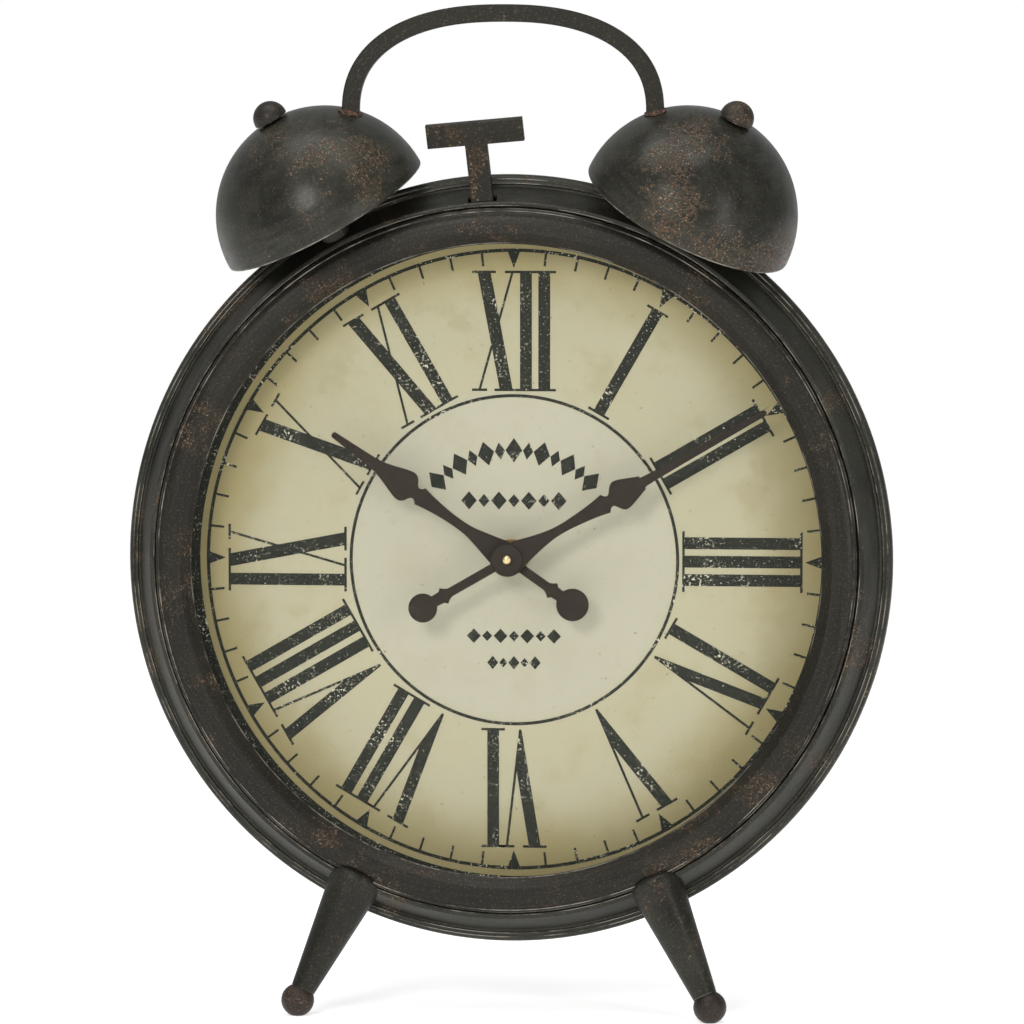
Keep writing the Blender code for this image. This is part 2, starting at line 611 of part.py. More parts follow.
def build_movement():
    flat = facing_frame(0.0, 0.0, 0.0)
    wall, half, floor = CASE_WALL, CASE_HALF, -CASE_FRONT
    housing = box("movement_case", (-half, -half, -CASE_BACK), (half, half, floor), flat,
                  "black_plastic")
    lower = box("train_space", (wall - half, wall - half, -CASE_BACK - 5.0),
                (half - wall, BAY_FLOOR - wall, floor - wall), flat, None)
    bay = box("battery_space", (wall - half, BAY_FLOOR, -CASE_BACK - 5.0),
              (half - wall, half - wall, floor - 1.0), flat, None)
    neck = rod("bush_blank", 3.9, -CASE_FRONT - 0.5, -29.5, flat, None, 20)
    bore = rod("bush_bore", PIPE_RADIUS + 0.15, -CASE_FRONT - 5.0, -20.0, flat, None, 20)
    combine(housing, neck, "UNION")
    cut(housing, lower, bay, bore)

    lid_back, hole = CASE_BACK + GAP, 1.6
    lid_edge = rounded((-half, -half), (half, BAY_FLOOR - 0.2), 2.0)
    plate("movement_lid", [lid_edge, circle(hole, 14, *KNOB_AT)], 1.4,
          facing_frame(0.0, 0.0, lid_back), "black_plastic")
    inset = wall + GAP
    deck_edge = rounded((inset - half, inset - half), (half - inset, BAY_FLOOR - inset), 1.0)
    plate("movement_plate", [deck_edge, circle(hole, 14, *KNOB_AT)], 1.0,
          facing_frame(0.0, 0.0, 47.4), "white_plastic")

    washer = [(4.3, 38.3), (11.0, 38.3), (11.0, 39.0), (4.3, 39.0)]
    ring("rubber_washer", washer, "rubber", 16)
    washer = [(4.2, 34.9), (9.0, 34.9), (9.0, 35.7), (4.2, 35.7)]
    ring("dial_washer", washer, "brass", 16)
    plate("movement_nut", [circle(7.0, 6), circle(4.15, 20)], 2.4, facing_frame(0.0, 0.0, 32.2),
          "brass")

    coil_frame = facing_frame(-15.0, -9.0, 51.6) @ Matrix.Rotation(math.radians(90.0), 4, "X")
    rod("coil", 2.9, -7.0, 7.0, coil_frame, "copper", 16)
    frame_outline = rounded((-22.0, -24.0), (-4.0, -18.2), 1.5)
    plate("stator", [frame_outline, circle(2.2, 16, -9.0, -21.1)], 1.2,
          facing_frame(0.0, 0.0, 51.0), "zinc")
    rotor = [(0.0, -48.8), (0.5, -48.8), (0.5, -50.6), (1.8, -50.6), (1.8, -52.6), (0.5, -52.6),
             (0.5, -55.2), (0.0, -55.2)]
    turned("rotor", rotor, 14, facing_frame(-9.0, -21.1, 0.0), "zinc")
    box("circuit_board", (16.0, -18.0, -50.2), (25.0, 7.0, -49.2), flat, "green_board")
    rod("crystal", 1.0, -3.0, 3.0, facing_frame(20.5, 1.0, 51.7) @ Matrix.Rotation(
        math.radians(90.0), 4, "X"), "zinc", 12)

    lying = facing_frame(0.0, BATTERY_UP, 48.2) @ Matrix.Rotation(math.radians(90.0), 4, "Y")
    length, body = BATTERY_LENGTH / 2, BATTERY_RADIUS
    cell = [(0.0, -length), (body, -length), (body, length - 1.6), (2.7, length - 1.6),
            (2.7, length - 0.3), (0.0, length - 0.3)]
    turned("battery", cell, 24, lying, "battery_jacket")
    for side, label in ((-1, "minus"), (1, "plus")):
        ends = sorted((side * (length + 0.3), side * (length + 0.9)))
        box(f"battery_contact_{label}", (ends[0], BATTERY_UP - 4.0, -52.5),
            (ends[1], BATTERY_UP + 4.0, -43.0), flat, "zinc")


def smooth_round_parts():
    """Shade the flat pieces smooth except at their corners."""
    for obj in PARTS.objects:
        if obj.type == "MESH" and not any(step.type == "SCREW" for step in obj.modifiers):
            obj.data.shade_smooth()
            obj.data.set_sharp_from_angle(angle=math.radians(30.0))


clear_scene()
PARTS = collection("twin_bell_alarm_clock")
CUTTERS = collection("cutters")


def build():
    band, drum = build_case()
    build_back(drum)
    envelope = case_envelope(GAP)
    for side, label in ((-1, "left"), (1, "right")):
        build_bell(side, label, band, envelope)
        build_leg(side, label, band, envelope)
    build_handle()
    build_striker(band)
    build_hands()
    build_motion_work()
    build_movement()
    smooth_round_parts()


build()
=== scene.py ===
"""Looks of the twin-bell alarm clock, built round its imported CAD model.

Sizes are millimetres. A depth is measured backwards from the bezel's front, and a clock angle
clockwise from twelve. Turned pieces keep their own frame, with Z along the turning axis.
"""

import json
import math

import bmesh
import bpy
from mathutils import Matrix, Vector, noise

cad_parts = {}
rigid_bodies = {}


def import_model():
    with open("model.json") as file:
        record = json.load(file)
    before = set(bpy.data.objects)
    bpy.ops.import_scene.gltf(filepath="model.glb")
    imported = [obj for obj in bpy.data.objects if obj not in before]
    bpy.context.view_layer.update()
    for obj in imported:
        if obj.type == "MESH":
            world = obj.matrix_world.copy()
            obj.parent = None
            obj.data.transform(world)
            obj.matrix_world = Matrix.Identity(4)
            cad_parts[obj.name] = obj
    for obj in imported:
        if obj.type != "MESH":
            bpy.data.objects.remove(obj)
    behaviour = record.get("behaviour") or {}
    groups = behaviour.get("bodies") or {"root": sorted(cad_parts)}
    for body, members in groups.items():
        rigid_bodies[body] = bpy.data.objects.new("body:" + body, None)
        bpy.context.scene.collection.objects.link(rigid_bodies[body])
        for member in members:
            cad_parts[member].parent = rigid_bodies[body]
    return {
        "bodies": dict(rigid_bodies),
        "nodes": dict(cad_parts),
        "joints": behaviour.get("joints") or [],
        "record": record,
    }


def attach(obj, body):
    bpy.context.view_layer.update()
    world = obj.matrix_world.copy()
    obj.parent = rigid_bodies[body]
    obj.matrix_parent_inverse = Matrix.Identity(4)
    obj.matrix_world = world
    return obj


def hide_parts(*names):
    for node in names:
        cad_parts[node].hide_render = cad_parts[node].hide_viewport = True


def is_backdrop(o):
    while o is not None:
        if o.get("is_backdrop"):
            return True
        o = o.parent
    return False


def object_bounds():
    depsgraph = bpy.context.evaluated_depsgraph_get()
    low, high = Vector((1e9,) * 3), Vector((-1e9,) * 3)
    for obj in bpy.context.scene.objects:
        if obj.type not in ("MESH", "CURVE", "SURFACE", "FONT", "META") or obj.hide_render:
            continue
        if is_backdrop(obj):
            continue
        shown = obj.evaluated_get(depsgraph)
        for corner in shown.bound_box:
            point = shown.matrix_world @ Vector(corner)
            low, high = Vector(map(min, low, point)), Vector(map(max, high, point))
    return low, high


MM = 0.001
GAP = 0.3

# Case, the same sizes as the CAD part: (radius, depth) pairs
AXIS_HEIGHT = 229.25
MID_DEPTH = 16.5
SHEET = 1.3
BEZEL_FACE = [(158.5, 5.2), (163.4, 0.6), (165.0, 0.0), (171.0, 0.2), (173.6, 1.0), (174.4, 1.5),
              (175.2, 1.2), (176.1, 1.9), (176.4, 3.0)]
BAND_FACE = [(177.4, 3.7), (179.2, 3.7), (180.3, 5.0), (186.0, 15.6), (186.7, 17.0), (187.7, 17.3),
             (188.5, 16.7), (189.4, 17.3), (190.1, 18.2), (191.3, 18.2), (192.4, 19.2),
             (193.0, 21.0), (193.0, 23.0), (192.2, 24.4)]
DRUM_RADIUS = 183.5
DRUM_FRONT = 21.5
BACK_DEPTH = 76.0
FLANGE_INNER = 171.0
DIAL_FRONT = 36.0
DIAL_THICK = 2.0
RING_STEPS = 216
SMOOTH_ANGLE = 35.0
FLAT_ANGLE = 14.0

# Dial print, round its own centre
PRINT_AT = (0.9, -1.6)
INNER_CIRCLE = (82.2, 83.8)
MINUTE_CIRCLE = (155.4, 157.1)
BORDER = (160.4, 166.0)
NUMERAL_SPAN = (85.9, 145.3)
BAR = 6.0
HAIR = 1.25
NUMERAL_GAP = 3.3
BAR_SERIF = 6.0
HAIR_SERIF = 3.85
TICK_LENGTH = 6.8
TICK_WIDTH = 1.2
MARKER_LENGTH = 8.5
MARKER_WIDTH = 6.3
V_ARM = 7.1
X_THICK_ENDS = (-5.85, 5.45)
X_THIN_ENDS = (8.6, -8.15)
LETTER_SIDES = {"I": (3.0, 3.0), "V": (10.0, 7.8), "X": (9.1, 9.1)}
INK_BOTTOM = 0.01
THIN_TOP = 0.06
MARK_TOP = 0.05
THICK_TOP = 0.07
ORNAMENT_ARC = (55.5, 7.4)
ORNAMENT_ROWS = [(30.0, 7, 7.6, 4.6), (-38.5, 7, 6.8, 3.7), (-52.0, 5, 5.4, 3.4)]
NUMERALS = ["XII", "I", "II", "III", "IV", "V", "VI", "VII", "VIII", "IX", "X", "XI"]

# Bells, handle and striker
BELL_ANGLE = 27.8
BELL_RIM_RADIUS = 54.7
BELL_CENTRE = (195.2, 10.0)
BELL_LEAN = 14.0
BELL_WALL = 1.2
STUD_RADIUS = 2.0
BALL_NUT_RADIUS = 8.6
HANDLE_DEPTH = -3.0
HANDLE_HALF_SPAN = 76.0
HANDLE_FOOT_HEIGHT = 453.0
HANDLE_RISE = 49.15
HANDLE_SQUARENESS = 2.35
HANDLE_WIDTH = 8.7
HANDLE_THICK = 5.0
STRIKER_ANGLE = -3.5
STRIKER_TILT = -5.0
STRIKER_LEAN = 12.0
STRIKER_PIVOT = (172.0, 8.8)
STRIKER_THICK = 5.0
STEM_WIDTH = 11.0
STRIKER_HEIGHT = 49.0
BAR_HEIGHT = 11.7
BAR_WIDTH = 48.5
SLOT_HALF = 7.3

# Legs
FOOT_RADIUS = 8.3
FOOT_FLAT = 3.0
FOOT_X = 104.0
FOOT_DEPTH = -2.0
LEG_ANGLE = 25.2
LEG_LEAN = 10.0
LEG_TOP_RADIUS = 13.0
LEG_END_RADIUS = 6.2
LEG_LENGTH = 68.0

# Hands: (distance from the arbor, half width)
HOUR_ANGLE = 305.0
MINUTE_ANGLE = 60.0
HAND_THICK = 1.0
HOUR_FRONT = 19.5
MINUTE_FRONT = 15.5
HOUR_BLADE = [(109.0, 0.5), (108.2, 1.3), (106.8, 1.6), (84.0, 2.8), (77.0, 4.1), (70.0, 6.4),
              (65.5, 7.8), (62.5, 8.0), (60.2, 6.6), (58.8, 4.3), (57.4, 3.1), (55.8, 3.5),
              (54.6, 4.9), (48.0, 3.7), (40.0, 2.8), (32.0, 2.4), (24.0, 2.8), (16.0, 4.5)]
MINUTE_BLADE = [(150.0, 0.5), (149.2, 1.3), (147.8, 1.6), (85.0, 2.3), (78.5, 3.7), (72.5, 5.9),
                (68.0, 7.5), (65.0, 7.7), (62.8, 6.1), (61.3, 4.0), (60.0, 3.0), (58.4, 3.5),
                (57.2, 5.1), (50.0, 3.8), (42.0, 2.9), (33.0, 2.3), (25.0, 2.7), (16.0, 4.4)]
COLLAR_CORNER = 12
HUB_RADIUS = 8.6
HOUR_TAIL = (27.2, 39.6, 8.2)
MINUTE_TAIL = (37.0, 49.4, 7.3)
TAIL_HALF = 2.3
TAIL_NECK = 2.9
ARBOR_HOLE = 1.8
HOUR_PIPE_HOLE = 2.8

# View and light, in degrees, metres and watts
VIEW_AZIMUTH = 7.0
VIEW_ELEVATION = 3.8
VIEW_DISTANCE = 3.0
VIEW_TARGET = (0.0041, -0.0145, 0.2542)
LENS = 211.5
LIGHT_TARGET = (0.0, 0.0, 0.25)
LIGHTS = {
    "key": ((-0.42, -1.7, 0.95), (0.55, 0.55), 13.0),
    "side": ((1.10, -1.1, 0.45), (0.4, 1.0), 5.2),
    "top": ((-0.1, -0.35, 1.6), (1.3, 0.7), 11.5),
}
WORLD_LIGHT = 0.46
FLOOR_GLOW = 0.56


# ---------------------------------------------------------------- frames and outlines

def place(right, depth, height):
    """World position, in metres, of a point given across, behind the bezel's front and up."""
    return Vector((right, depth - MID_DEPTH, height)) * MM


def round_dial(radius, angle, depth):
    """World position of a point at a clock angle and a depth."""
    turn = math.radians(angle)
    return place(radius * math.sin(turn), depth, AXIS_HEIGHT + radius * math.cos(turn))


def leaning_frame(origin, angle, lean):
    """Frame whose Z points out along a clock angle and leans to the front."""
    turn, tip = math.radians(angle), math.radians(lean)
    out = Vector((math.sin(turn) * math.cos(tip), -math.sin(tip), math.cos(turn) * math.cos(tip)))
    across = Vector((math.cos(turn), 0.0, -math.sin(turn)))
    axes = Matrix((across, out.cross(across), out)).transposed()
    return Matrix.Translation(origin) @ axes.to_4x4()


def facing_frame(right, up, depth, spin=0.0):
    """Frame of the dial: X right, Y up and Z to the front, turned clockwise by spin degrees."""
    stand = Matrix.Rotation(math.radians(90.0), 4, "X")
    turn = Matrix.Rotation(-math.radians(spin), 4, "Z")
    return Matrix.Translation(place(right, depth, AXIS_HEIGHT + up)) @ stand @ turn


def bell_frame(side):
    centre = round_dial(BELL_CENTRE[0], side * BELL_ANGLE, BELL_CENTRE[1])
    return leaning_frame(centre, side * BELL_ANGLE, BELL_LEAN)


def striker_frame():
    origin = round_dial(STRIKER_PIVOT[0], STRIKER_ANGLE, STRIKER_PIVOT[1])
    return leaning_frame(origin, STRIKER_TILT, STRIKER_LEAN)


def arc(radius, start, end, count, across=0.0, up=0.0):
    """Points of an arc from one angle to another, in degrees anticlockwise from the right."""
    angles = [math.radians(start + (end - start) * i / (count - 1)) for i in range(count)]
    return [(across + radius * math.cos(a), up + radius * math.sin(a)) for a in angles]


def softened(points, steps=5):
    """The same open path with a smooth curve run through its points."""
    made = []
    for i in range(len(points) - 1):
        p0, p1, p2, p3 = (points[min(max(j, 0), len(points) - 1)] for j in range(i - 1, i + 3))
        for step in range(steps):
            t = step / steps
            made.append(tuple(
                0.5 * (2 * b + (c - a) * t + (2 * a - 5 * b + 4 * c - d) * t * t
                       + (3 * b - a - 3 * c + d) * t ** 3)
                for a, b, c, d in zip(p0, p1, p2, p3)))
    return made + [points[-1]]


def grown(path, distance):
    """A path of (radius, depth) moved off its face by a distance; it runs from front to back."""
    moved = []
    for i, (radius, depth) in enumerate(path):
        before, after = path[max(i - 1, 0)], path[min(i + 1, len(path) - 1)]
        run = math.hypot(after[0] - before[0], after[1] - before[1])
        moved.append((radius + distance * (after[1] - before[1]) / run,
                      depth - distance * (after[0] - before[0]) / run))
    return moved


# ---------------------------------------------------------------- meshes

def finished(name, work, frame, smooth_angle=SMOOTH_ANGLE):
    """Put a mesh in the scene in its own frame, shaded smooth between its sharp edges."""
    bmesh.ops.recalc_face_normals(work, faces=work.faces)
    mesh = bpy.data.meshes.new(name)
    work.to_mesh(mesh)
    work.free()
    mesh.shade_smooth()
    mesh.set_sharp_from_angle(angle=math.radians(smooth_angle))
    obj = bpy.data.objects.new(name, mesh)
    obj.matrix_world = frame
    bpy.context.scene.collection.objects.link(obj)
    return obj


def lathe(name, profile, steps, frame):
    """A closed turned solid about the frame's Z, from an outline of (radius, height)."""
    work = bmesh.new()
    turns = [2.0 * math.pi * i / steps for i in range(steps)]
    rings = []
    for radius, height in profile:
        count = steps if radius > 0.0 else 1
        rings.append([work.verts.new((radius * MM * math.cos(t), radius * MM * math.sin(t),
                                      height * MM)) for t in turns[:count]])
    for here, there in zip(rings, rings[1:] + rings[:1]):
        if len(here) == 1 and len(there) == 1:
            continue
        for i in range(steps):
            j = (i + 1) % steps
            corners = [here[i % len(here)], here[j % len(here)],
                       there[j % len(there)], there[i % len(there)]]
            work.faces.new(list(dict.fromkeys(corners)))
    return finished(name, work, frame)


def ring(name, profile, steps=RING_STEPS):
    """A piece turned about the dial's axis, from (radius, depth) pairs."""
    return lathe(name, [(radius, -depth) for radius, depth in profile], steps,
                 facing_frame(0.0, 0.0, 0.0))


def evaluated_mesh(obj):
    """A new mesh of the object as its modifiers or its curve make it."""
    bpy.context.view_layer.update()
    ready = obj.evaluated_get(bpy.context.evaluated_depsgraph_get())
    return bpy.data.meshes.new_from_object(ready)


def plate(name, outlines, thickness, frame, chamfer=0.0):
    """A flat piece behind the frame's origin: the first outline is its edge, the others holes."""
    curve = bpy.data.curves.new(name, "CURVE")
    curve.dimensions = "2D"
    curve.fill_mode = "BOTH"
    curve.extrude = (thickness / 2 - chamfer) * MM
    curve.bevel_depth = chamfer * MM
    curve.bevel_resolution = 1
    curve.offset = -chamfer * MM
    for outline in outlines:
        spline = curve.splines.new("POLY")
        spline.points.add(len(outline) - 1)
        for point, (x, y) in zip(spline.points, outline):
            point.co = (x * MM, y * MM, 0.0, 1.0)
        spline.use_cyclic_u = True
    holder = bpy.data.objects.new(f"{name}_outline", curve)
    bpy.context.scene.collection.objects.link(holder)
    mesh = evaluated_mesh(holder)
    bpy.data.objects.remove(holder, do_unlink=True)
    work = bmesh.new()
    work.from_mesh(mesh)
    bmesh.ops.remove_doubles(work, verts=work.verts, dist=0.000002)
    sunk = frame @ Matrix.Translation((0.0, 0.0, -thickness / 2 * MM))
    return finished(name, work, sunk, FLAT_ANGLE)


def prisms(name, strokes, frame):
    """Closed flat prints in one mesh, each from an outline and the height of its top."""
    work = bmesh.new()
    for outline, top in strokes:
        low = [work.verts.new((x * MM, y * MM, INK_BOTTOM * MM)) for x, y in outline]
        high = [work.verts.new((x * MM, y * MM, top * MM)) for x, y in outline]
        work.faces.new(low[::-1])
        work.faces.new(high)
        for i in range(len(outline)):
            j = (i + 1) % len(outline)
            work.faces.new((low[i], low[j], high[j], high[i]))
    return finished(name, work, frame, 30.0)


def carve(obj, cutter):
    """Cut one mesh by another and throw the cutter away."""
    step = obj.modifiers.new("Cut", "BOOLEAN")
    step.operation = "DIFFERENCE"
    step.object = cutter
    step.solver = "EXACT"
    made = evaluated_mesh(obj)
    obj.modifiers.clear()
    obj.data = made
    made.set_sharp_from_angle(angle=math.radians(SMOOTH_ANGLE))
    bpy.data.objects.remove(cutter, do_unlink=True)


def lump(name, size, frame, seed):
    """A small uneven bead of weld metal, from its half sizes."""
    roughness = 0.16
    work = bmesh.new()
    bmesh.ops.create_icosphere(work, subdivisions=4, radius=1.0)
    for vert in work.verts:
        swell = 1.0 + roughness * noise.noise(vert.co * 2.3 + Vector((seed, 0.0, 0.0)))
        swell += roughness * 0.5 * noise.noise(vert.co * 6.0 + Vector((0.0, seed, 0.0)))
        vert.co = Vector([a * b * swell * MM for a, b in zip(vert.co, size)])
    return finished(name, work, frame, 60.0)


# ---------------------------------------------------------------- materials

def linear(red, green, blue):
    """A colour given as 0 to 255 display values."""
    def single(value):
        value /= 255.0
        return value / 12.92 if value <= 0.04045 else ((value + 0.055) / 1.055) ** 2.4
    return (single(red), single(green), single(blue), 1.0)


class Finish:
    """A material being built. Each call makes a node and returns its output socket."""

    def __init__(self, name):
        self.material = bpy.data.materials.new(name)
        self.material.use_nodes = True
        self.tree = self.material.node_tree
        self.shader = self.tree.nodes["Principled BSDF"]
        self.place = self.node("ShaderNodeTexCoord").outputs["Object"]

    def node(self, kind, *values, **settings):
        """Add a node; each value is a number, a colour or a socket for the input of that rank."""
        made = self.tree.nodes.new(kind)
        for key, value in settings.items():
            setattr(made, key, value)
        for rank, value in enumerate(values):
            self.feed(made.inputs[rank], value)
        return made

    def feed(self, socket, value):
        if isinstance(value, bpy.types.NodeSocket):
            self.tree.links.new(value, socket)
        elif value is not None:
            socket.default_value = value

    def math(self, operation, first, second=None):
        return self.node("ShaderNodeMath", first, second, operation=operation).outputs[0]

    def span(self, value, low, high, start=0.0, end=1.0):
        """The value moved smoothly from one range to another."""
        return self.node("ShaderNodeMapRange", value, low, high, start, end,
                         interpolation_type="SMOOTHSTEP").outputs[0]

    def noise(self, scale, detail=4.0, roughness=0.6, at=None):
        made = self.node("ShaderNodeTexNoise")
        self.feed(made.inputs["Vector"], at or self.place)
        made.inputs["Scale"].default_value = scale
        made.inputs["Detail"].default_value = detail
        made.inputs["Roughness"].default_value = roughness
        return made.outputs[0]

    def mix(self, factor, first, second):
        made = self.node("ShaderNodeMix", data_type="RGBA")
        self.feed(made.inputs[0], factor)
        self.feed(made.inputs[6], first)
        self.feed(made.inputs[7], second)
        return made.outputs[2]

    def moved(self, offset):
        return self.node("ShaderNodeVectorMath", self.place, offset, operation="ADD").outputs[0]

    def radius(self):
        """Distance from the piece's own Z axis, in metres."""
        flat = self.node("ShaderNodeVectorMath", self.place, (1.0, 1.0, 0.0), operation="MULTIPLY")
        return self.node("ShaderNodeVectorMath", flat.outputs[0],
                         operation="LENGTH").outputs["Value"]

    def height(self):
        return self.node("ShaderNodeSeparateXYZ", self.place).outputs["Z"]

    def lines(self, across, around):
        """Fine lines round the piece's Z axis, across per metre and around per turn."""
        flat = self.node("ShaderNodeVectorMath", self.place, (1.0, 1.0, 0.0), operation="MULTIPLY")
        way = self.node("ShaderNodeVectorMath", flat.outputs[0], operation="NORMALIZE")
        parts = self.node("ShaderNodeSeparateXYZ", way.outputs[0])
        run = self.math("ADD", self.radius(), self.math("MULTIPLY", self.height(), 0.7))
        vector = self.node("ShaderNodeCombineXYZ",
                           self.math("MULTIPLY", parts.outputs["X"], around),
                           self.math("MULTIPLY", parts.outputs["Y"], around),
                           self.math("MULTIPLY", run, across)).outputs[0]
        return self.noise(1.0, 3.0, 0.55, vector)

    def near(self, value, centre, reach):
        """One where the value is at the centre, falling to nothing a reach away."""
        away = self.math("ABSOLUTE", self.math("SUBTRACT", value, centre))
        return self.span(away, 0.0, reach, 1.0, 0.0)

    def edge(self):
        """One on the narrow chamfers between a plate's faces and its sides."""
        normal = self.node("ShaderNodeTexCoord").outputs["Normal"]
        lift = self.math("ABSOLUTE", self.node("ShaderNodeSeparateXYZ", normal).outputs["Z"])
        return self.near(lift, 0.62, 0.33)

    def relief(self, height, strength, distance, under=None):
        made = self.node("ShaderNodeBump")
        made.inputs["Strength"].default_value = strength
        made.inputs["Distance"].default_value = distance
        self.feed(made.inputs["Height"], height)
        self.feed(made.inputs["Normal"], under)
        return made.outputs[0]

    def done(self, colour, roughness, metallic, normal=None, **numbers):
        self.feed(self.shader.inputs["Base Color"], colour)
        self.feed(self.shader.inputs["Roughness"], roughness)
        self.feed(self.shader.inputs["Metallic"], metallic)
        self.feed(self.shader.inputs["Normal"], normal)
        for name, value in numbers.items():
            self.shader.inputs[name.replace("_", " ")].default_value = value
        return self.material


GUNMETAL = linear(35, 35, 30)
GUNMETAL_PALE = linear(60, 60, 52)
GUNMETAL_DEEP = linear(21, 20, 16)
RUST = linear(76, 60, 46)
RUST_PALE = linear(126, 108, 86)
WORN = linear(150, 146, 136)


def aged_metal(name, base=GUNMETAL, pale=GUNMETAL_PALE, deep=GUNMETAL_DEEP, rust=RUST,
               rust_reach=0.52, lines=None, wear=(), wear_strength=0.8, edges=False,
               seed=0.0, gloss=0.42):
    """Aged dark metal: cloudy tone, turned lines, speckled rust patches and worn crests."""
    made = Finish(name)
    at = made.moved((seed, seed * 0.7, -seed))
    cloud = made.noise(16.0, 5.0, 0.62, at)
    tone = made.span(cloud, 0.36, 0.66)
    colour = made.mix(tone, deep, pale)
    colour = made.mix(0.6, colour, base)
    if lines:
        brushed = made.span(made.lines(*lines), 0.35, 0.65)
        colour = made.mix(made.math("MULTIPLY", brushed, 0.45), colour, pale)
    grit = made.noise(650.0, 3.0, 0.7, at)
    colour = made.mix(made.span(grit, 0.50, 0.72, 0.0, 0.35), colour, deep)
    patch = made.span(made.noise(22.0, 6.0, 0.7, at), rust_reach, rust_reach + 0.12)
    grain = made.span(made.noise(520.0, 4.0, 0.8, at), 0.46, 0.60)
    spots = made.math("MULTIPLY", patch, grain)
    colour = made.mix(made.math("MULTIPLY", spots, 0.92), colour, rust)
    flecks = made.math("MULTIPLY", made.span(made.noise(1000.0, 3.0, 0.7, at), 0.58, 0.65),
                       made.span(patch, 0.0, 0.6, 0.22, 0.9))
    colour = made.mix(flecks, colour, RUST_PALE)
    broken = made.span(made.noise(45.0, 5.0, 0.7, at), 0.42, 0.62)
    worn = None
    for where, centre, reach in wear:
        value = made.radius() if where == "radius" else made.height()
        line = made.near(value, centre * MM, reach * MM)
        worn = line if worn is None else made.math("MAXIMUM", worn, line)
    if edges:
        worn = made.edge() if worn is None else made.math("MAXIMUM", worn, made.edge())
    if worn is not None:
        worn = made.math("MULTIPLY", made.math("MULTIPLY", worn, broken), wear_strength)
        colour = made.mix(worn, colour, WORN)
    rough = made.span(cloud, 0.3, 0.7, gloss - 0.06, gloss + 0.1)
    rough = made.math("ADD", rough, made.math("MULTIPLY", spots, 0.2))
    normal = made.relief(grit, 0.25, 0.00012)
    normal = made.relief(spots, 0.5, 0.00018, normal)
    if lines:
        normal = made.relief(brushed, 0.22, 0.0001, normal)
    return made.done(colour, rough, 0.35, normal, Specular_IOR_Level=0.22)


def paper():
    """Yellowed paper, paler in the middle, with fine flecks and brown stains towards its rim; the
    rim's darkening is partly stain and partly painted shade of the bezel.
    """
    made = Finish("aged_paper")
    radius = made.radius()
    stain = made.noise(13.0, 6.0, 0.62)
    fog = made.noise(34.0, 5.0, 0.6, made.moved((0.3, 0.1, 0.0)))
    colour = made.mix(made.span(radius, 0.078, 0.088), linear(186, 182, 160), linear(183, 178, 148))
    # Darker olive-brown towards the rim: partly brown stains, partly painted shade of the bezel over
    # the sunk dial.
    edge = made.math("ADD", made.span(radius, 0.105, 0.166, 0.0, 1.0),
                     made.span(stain, 0.35, 0.70, -0.16, 0.18))
    colour = made.mix(made.span(edge, 0.05, 1.0), colour, linear(163, 151, 106))
    blot = made.math("MULTIPLY", made.span(fog, 0.52, 0.70),
                     made.span(radius, 0.03, 0.15, 0.06, 0.34))
    colour = made.mix(blot, colour, linear(158, 145, 104))
    dust = made.span(made.noise(260.0, 3.0, 0.7), 0.55, 0.75, 0.0, 0.22)
    colour = made.mix(dust, colour, linear(160, 151, 118))
    fleck = made.span(made.noise(520.0, 2.0, 0.5, made.moved((0.0, 0.4, 0.0))), 0.72, 0.76)
    colour = made.mix(made.math("MULTIPLY", fleck, 0.7), colour, linear(110, 92, 62))
    normal = made.relief(made.noise(420.0, 4.0, 0.6), 0.15, 0.0001)
    return made.done(colour, made.span(fog, 0.3, 0.7, 0.72, 0.86), 0.0, normal,
                     Specular_IOR_Level=0.25)


def ink():
    """Black print with small chips that show the paper."""
    made = Finish("printed_ink")
    cluster = made.span(made.noise(36.0, 4.0, 0.6), 0.50, 0.62)
    chip = made.span(made.noise(620.0, 4.0, 0.7), 0.56, 0.60)
    stray = made.span(made.noise(900.0, 2.0, 0.6, made.moved((0.2, 0.0, 0.0))), 0.66, 0.69)
    mask = made.math("MAXIMUM", made.math("MULTIPLY", cluster, chip),
                     made.math("MULTIPLY", stray, 0.8))
    dark = made.mix(made.noise(90.0, 3.0), linear(36, 38, 31), linear(50, 52, 43))
    colour = made.mix(mask, dark, linear(222, 217, 192))
    return made.done(colour, 0.8, 0.0, None, Specular_IOR_Level=0.25)


def glass():
    """Clear glass with a faint uneven gloss."""
    made = Finish("clear_glass")
    haze = made.span(made.noise(60.0, 3.0), 0.3, 0.7, 0.03, 0.07)
    return made.done(linear(30, 34, 32), haze, 0.0, None, Alpha=0.04, IOR=1.5)


def bright_metal(name, base, pale):
    """Plated or solid bright metal with fine scratches and a little tarnish."""
    made = Finish(name)
    tarnish = made.noise(140.0, 5.0, 0.65)
    scratch = made.noise(900.0, 3.0, 0.7)
    colour = made.mix(made.span(tarnish, 0.35, 0.65), base, pale)
    rough = made.span(scratch, 0.3, 0.7, 0.24, 0.46)
    return made.done(colour, rough, 1.0, made.relief(scratch, 0.12, 0.00005))


def moulded(name, base, pale, roughness=0.5):
    """Moulded plastic, rubber or board: a fine even grain and faint clouding."""
    made = Finish(name)
    cloud = made.noise(60.0, 4.0, 0.6)
    fine = made.noise(1500.0, 2.0, 0.6)
    colour = made.mix(made.span(cloud, 0.3, 0.7), base, pale)
    rough = made.span(cloud, 0.3, 0.7, roughness - 0.06, roughness + 0.08)
    return made.done(colour, rough, 0.0, made.relief(fine, 0.2, 0.00006))


def wound_copper():
    """Enamelled copper wire wound round the coil's core."""
    made = Finish("wound_copper")
    turns = made.node("ShaderNodeTexWave", bands_direction="X")
    turns.inputs["Scale"].default_value = 900.0
    colour = made.mix(turns.outputs[1], linear(120, 52, 26), linear(196, 112, 66))
    return made.done(colour, 0.35, 0.9, made.relief(turns.outputs[1], 0.5, 0.0001))


